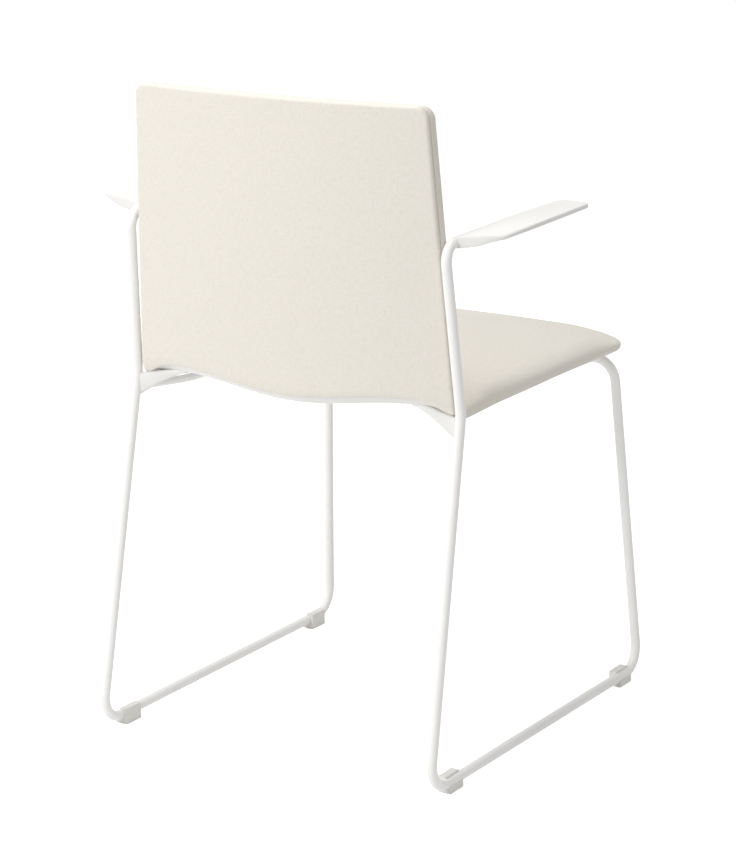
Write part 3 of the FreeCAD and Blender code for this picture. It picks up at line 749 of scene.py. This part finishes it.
def weave_group():
    """Height and tint of a plain weave over a UV map in metres.

    Across a thread the height is |sin(pi u)| to the power of the yarn's roundness, and along it
    the thread dips where it crosses the next one. The sign of sin(pi u) sin(pi v) says which of
    the two threads lies on top.
    """
    tree, inlet, outlet = group(
        "plain_weave",
        [("UV", "NodeSocketVector", None), ("Pitch", "NodeSocketFloat", PITCH)],
        [("Height", "NodeSocketFloat"), ("Tint", "NodeSocketFloat")])
    scaled = node(tree, "ShaderNodeVectorMath", {0: inlet.outputs["UV"]}, operation="SCALE")
    inverse = math_node(tree, "DIVIDE", 1.0, inlet.outputs["Pitch"])
    tree.links.new(inverse, scaled.inputs[3])
    # a slow noise bends the threads, so that none is quite straight
    drift = node(tree, "ShaderNodeTexNoise", {0: scaled.outputs[0], 2: WANDER_SCALE, 3: 2.0})
    wobble = node(tree, "ShaderNodeVectorMath", {0: drift.outputs["Color"], 1: (0.5, 0.5, 0.5)},
                  operation="SUBTRACT")
    moved = node(tree, "ShaderNodeVectorMath", {0: wobble.outputs[0], 1: (WANDER, WANDER, 0.0),
                                                2: scaled.outputs[0]}, operation="MULTIPLY_ADD")
    parts = node(tree, "ShaderNodeSeparateXYZ", {0: moved.outputs[0]})
    # the chessboard of crossings, and the two rounded threads
    warp = math_node(tree, "SINE", math_node(tree, "MULTIPLY", parts.outputs[0], math.pi))
    weft = math_node(tree, "SINE", math_node(tree, "MULTIPLY", parts.outputs[1], math.pi))
    over = math_node(tree, "GREATER_THAN", math_node(tree, "MULTIPLY", warp, weft), 0.0)
    warp_round = math_node(tree, "POWER", math_node(tree, "ABSOLUTE", warp), YARN_ROUND)
    weft_round = math_node(tree, "POWER", math_node(tree, "ABSOLUTE", weft), YARN_ROUND)
    warp_arch = math_node(tree, "MULTIPLY_ADD", weft_round, DIP, CREST)
    weft_arch = math_node(tree, "MULTIPLY_ADD", warp_round, DIP, CREST)
    warp_height = math_node(tree, "MULTIPLY", warp_round, warp_arch)
    weft_height = math_node(tree, "MULTIPLY", weft_round, weft_arch)
    height = node(tree, "ShaderNodeMix", {0: over, 2: weft_height, 3: warp_height})
    # each thread's shade, drawn out along the thread
    shades = []
    for axis, stretch in ((0, (1.0, ALONG, 0.0)), (1, (ALONG, 1.0, 0.0))):
        line = node(tree, "ShaderNodeVectorMath", {0: moved.outputs[0], 1: stretch},
                    operation="MULTIPLY")
        scale = SHADE_SCALE + SHADE_STEP * axis
        shades.append(node(tree, "ShaderNodeTexNoise", {0: line.outputs[0], 2: scale, 3: 2.0}))
    shade = node(tree, "ShaderNodeMix", {0: over, 2: shades[1].outputs[0], 3: shades[0].outputs[0]})
    tree.links.new(height.outputs[0], outlet.inputs["Height"])
    tree.links.new(shade.outputs[0], outlet.inputs["Tint"])
    return tree


WEAVE = weave_group()
print("group", WEAVE.name, len(WEAVE.nodes), "nodes")

# %% [markdown]
# ## The grain
# Sprayed paint and moulded plastic have a very fine grain. One noise gives its height, and a
# second one, fifty times broader, gives slow clouds for the colour and the gloss. Both read the
# place on the piece itself, so no UV map is needed.

# %% Grain group
CLOUD_SHARE = 0.02
GRAIN_DETAIL = 3.0


def grain_group():
    """Two sizes of grain for sprayed or moulded surfaces, over positions in metres."""
    tree, inlet, outlet = group(
        "fine_grain",
        [("Position", "NodeSocketVector", None), ("Grains per metre", "NodeSocketFloat", 900.0)],
        [("Height", "NodeSocketFloat"), ("Cloud", "NodeSocketFloat")])
    fine = node(tree, "ShaderNodeTexNoise",
                {0: inlet.outputs[0], 2: inlet.outputs[1], 3: GRAIN_DETAIL})
    broad = math_node(tree, "MULTIPLY", inlet.outputs[1], CLOUD_SHARE)
    cloud = node(tree, "ShaderNodeTexNoise", {0: inlet.outputs[0], 2: broad, 3: GRAIN_DETAIL})
    tree.links.new(fine.outputs[0], outlet.inputs["Height"])
    tree.links.new(cloud.outputs[0], outlet.inputs["Cloud"])
    return tree


GRAIN = grain_group()
print("group", GRAIN.name, len(GRAIN.nodes), "nodes")

# %% [markdown]
# ## Building a material
# Each material starts from a bare Principled shader. A mask mixes two close colours, and a height
# tilts the normal, which is how the weave and the grain show without any extra geometry.

# %% Material parts
def new_material(name):
    """A material with only its Principled shader and output."""
    made = bpy.data.materials.new(name)
    made.use_nodes = True
    tree = made.node_tree
    tree.nodes.clear()
    shader = tree.nodes.new("ShaderNodeBsdfPrincipled")
    output = tree.nodes.new("ShaderNodeOutputMaterial")
    tree.links.new(shader.outputs[0], output.inputs[0])
    return made, tree, shader


def tinted(tree, shader, mask, dark, light):
    """Mix two colours by a mask into the base colour."""
    mix = node(tree, "ShaderNodeMix", {0: mask, 6: (*dark, 1), 7: (*light, 1)}, data_type="RGBA")
    tree.links.new(mix.outputs[2], shader.inputs["Base Color"])


def bumped(tree, shader, height, distance, strength=1.0):
    """Relief from a height mask, with its depth in metres."""
    bump = node(tree, "ShaderNodeBump", {"Strength": strength, "Distance": distance,
                                         "Height": height})
    tree.links.new(bump.outputs[0], shader.inputs["Normal"])


# %% [markdown]
# ## Cloth and coats
# Cloth: cream yarn, matt, with a soft sheen at grazing angles, and painted shade in the dips of the
# weave. All the hard surfaces share one recipe and differ in colour, size of the grain, depth and
# gloss.

# %% Cloth and coats
YARN_DARK, YARN_LIGHT = (0.650, 0.603, 0.523), (0.866, 0.825, 0.750)
DIP_SHADE_WEIGHT, TINT_WEIGHT, MASK_START = 0.55, 1.1, -0.03
WEAVE_DEPTH, WEAVE_STRENGTH = 0.0004, 0.6
GRAIN_STRENGTH, GLOSS_SWING = 0.5, 0.05


def cloth_material():
    """Cream plain weave, with painted shade in the dips between the threads."""
    made, tree, shader = new_material("cream_weave")
    place_on = node(tree, "ShaderNodeUVMap", uv_map="weave")
    weave = node(tree, "ShaderNodeGroup", node_tree=WEAVE)
    tree.links.new(place_on.outputs[0], weave.inputs[0])
    # the thread height darkens the dips between crossings in the colour: painted shade; the tint
    # adds each yarn's own shade
    low = math_node(tree, "MULTIPLY_ADD", weave.outputs[0], DIP_SHADE_WEIGHT, MASK_START)
    mask = math_node(tree, "MULTIPLY_ADD", weave.outputs[1], TINT_WEIGHT, low)
    clamped = node(tree, "ShaderNodeClamp", {0: mask})
    tinted(tree, shader, clamped.outputs[0], YARN_DARK, YARN_LIGHT)
    bumped(tree, shader, weave.outputs[0], WEAVE_DEPTH, WEAVE_STRENGTH)
    shader.inputs["Roughness"].default_value = 0.88
    shader.inputs["Sheen Weight"].default_value = 0.12
    shader.inputs["Sheen Roughness"].default_value = 0.5
    shader.inputs["Specular IOR Level"].default_value = 0.2
    return made


def coated_material(name, dark, light, grains, depth, roughness, specular=0.5, metallic=0.0):
    """A coated, moulded or turned surface: two close colours and a fine grain."""
    made, tree, shader = new_material(name)
    where = node(tree, "ShaderNodeTexCoord")
    grain = node(tree, "ShaderNodeGroup", {1: grains}, node_tree=GRAIN)
    tree.links.new(where.outputs["Object"], grain.inputs[0])
    tinted(tree, shader, grain.outputs[1], dark, light)
    bumped(tree, shader, grain.outputs[0], depth, GRAIN_STRENGTH)
    rough = node(tree, "ShaderNodeMapRange", {0: grain.outputs[1], 3: roughness - GLOSS_SWING,
                                              4: roughness + GLOSS_SWING})
    tree.links.new(rough.outputs[0], shader.inputs["Roughness"])
    shader.inputs["Specular IOR Level"].default_value = specular
    shader.inputs["Metallic"].default_value = metallic
    return made


# %% [markdown]
# ## Finishes
# Frame: white powder coat with a very fine orange peel. Shell and arms: white plastic. Glides: a
# slightly darker plastic. Screws: zinc-plated steel. Inserts: brass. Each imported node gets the
# finish that its record names, and each new piece the one it was given when it was made.

# %% Materials
MATERIALS = {
    "upholstery": cloth_material(),
    "powder_coat": coated_material("powder_coat", (0.90, 0.89, 0.87), (0.94, 0.93, 0.91), 1400,
                                   0.00008, 0.42),
    "white_plastic": coated_material("white_plastic", (0.79, 0.78, 0.757), (0.83, 0.82, 0.797),
                                     2600, 0.00004, 0.48),
    "glide_plastic": coated_material("glide_plastic", (0.76, 0.74, 0.70), (0.82, 0.80, 0.76), 2000,
                                     0.00005, 0.52),
    "steel": coated_material("zinc_steel", (0.50, 0.51, 0.53), (0.60, 0.61, 0.62), 2200,
                             0.00003, 0.34, metallic=1.0),
    "brass": coated_material("brass", (0.56, 0.42, 0.20), (0.64, 0.50, 0.27), 2200, 0.00003, 0.36,
                             metallic=1.0),
}

for subpart in frame["record"]["subparts"]:
    mesh = frame["nodes"][subpart["node"]].data
    mesh.materials.clear()
    mesh.materials.append(MATERIALS[subpart["material_slot"]])
for piece, slot in MADE:
    piece.data.materials.append(MATERIALS[slot])
print("materials", sorted(MATERIALS))

# %% [markdown]
# ## Floor
# The floor is white to the camera, as in a catalogue picture, and pale grey to the chair. Its
# glow adds to the light that falls on it, so the chair's faint shadow stays.

# %% Floor
FLOOR_GLOW = 0.62
FLOOR_HALF = 30.0


def looked_at(tree):
    """1 where the camera, a reflection or a see-through surface looks, 0 for the light itself."""
    seen = tree.nodes.new("ShaderNodeLightPath")
    straight = math_node(tree, "MAXIMUM", seen.outputs["Is Camera Ray"],
                         seen.outputs["Is Glossy Ray"])
    return math_node(tree, "MAXIMUM", straight, seen.outputs["Is Transmission Ray"])


def backdrop_material():
    """Pale and matt; white where the camera or a reflection looks past the shadow."""
    made = bpy.data.materials.new("pale_floor")
    made.use_nodes = True
    tree = made.node_tree
    tree.nodes.clear()
    diffuse = node(tree, "ShaderNodeBsdfDiffuse", {0: (0.90, 0.90, 0.90, 1)})
    viewed = looked_at(tree)
    glow = math_node(tree, "MULTIPLY", viewed, FLOOR_GLOW)
    glowing = node(tree, "ShaderNodeEmission", {0: (1, 1, 1, 1), 1: glow})
    both = node(tree, "ShaderNodeAddShader", {0: diffuse.outputs[0], 1: glowing.outputs[0]})
    output = tree.nodes.new("ShaderNodeOutputMaterial")
    tree.links.new(both.outputs[0], output.inputs[0])
    return made


floor_mesh = bpy.data.meshes.new("floor")
corners = [(-FLOOR_HALF, -FLOOR_HALF, 0), (FLOOR_HALF, -FLOOR_HALF, 0),
           (FLOOR_HALF, FLOOR_HALF, 0), (-FLOOR_HALF, FLOOR_HALF, 0)]
floor_mesh.from_pydata(corners, [], [(0, 1, 2, 3)])
floor = bpy.data.objects.new("floor", floor_mesh)
bpy.context.scene.collection.objects.link(floor)
floor.data.materials.append(backdrop_material())
print("floor", 2 * FLOOR_HALF, "m wide")

# %% [markdown]
# ## World and lamps
# The world too is white to the camera and dimmer to the chair, so the background doesn't flood
# it with light. Two soft lamps stand behind and above the chair, which is the side shown here.

# %% World and lamps
AMBIENT = 0.49
world = bpy.data.worlds.new("pale_room")
bpy.context.scene.world = world
world.use_nodes = True
tree = world.node_tree
tree.nodes.clear()
strength = node(tree, "ShaderNodeMapRange", {0: looked_at(tree), 3: AMBIENT, 4: 1.0})
sky = node(tree, "ShaderNodeBackground", {0: (1, 1, 1, 1), 1: strength.outputs[0]})
output = tree.nodes.new("ShaderNodeOutputWorld")
tree.links.new(sky.outputs[0], output.inputs[0])


def lamp(name, place_at, aim, width, power):
    """A square area lamp turned towards a point."""
    light = bpy.data.lights.new(name, "AREA")
    light.size = width
    light.energy = power
    made = bpy.data.objects.new(name, light)
    made.location = place_at
    made.rotation_euler = (Vector(aim) - Vector(place_at)).to_track_quat("-Z", "Y").to_euler()
    bpy.context.scene.collection.objects.link(made)


lamp("key", (1.6, 3.8, 2.2), (0, 0, 0.45), 1.6, 70)
lamp("top", (0.4, 0.4, 3.2), (0, 0, 0.4), 1.8, 46)
print("lamps", [made.name for made in bpy.data.lights])

# %% [markdown]
# ## Camera
# The camera stands behind the chair on its right and looks down a little. The long lens keeps
# the verticals almost parallel, as in the photograph.

# %% Camera
AZIMUTH = math.radians(211.005)
ELEVATION = math.radians(14.349)
DISTANCE = 3.942
AIM = Vector((0.015, 0.0, 0.376))
LENS = 130.16
SENSOR = 36
back = Vector((math.sin(AZIMUTH) * math.cos(ELEVATION), -math.cos(AZIMUTH) * math.cos(ELEVATION),
               math.sin(ELEVATION)))
camera_data = bpy.data.cameras.new("camera")
camera_data.sensor_width = SENSOR
camera_data.lens = LENS
camera = bpy.data.objects.new("camera", camera_data)
camera.location = AIM + back * DISTANCE
camera.rotation_euler = (-back).to_track_quat("-Z", "Y").to_euler()
bpy.context.scene.collection.objects.link(camera)
bpy.context.scene.camera = camera
bpy.context.scene.view_settings.view_transform = "Standard"
print("camera at", [round(value, 3) for value in camera.location])
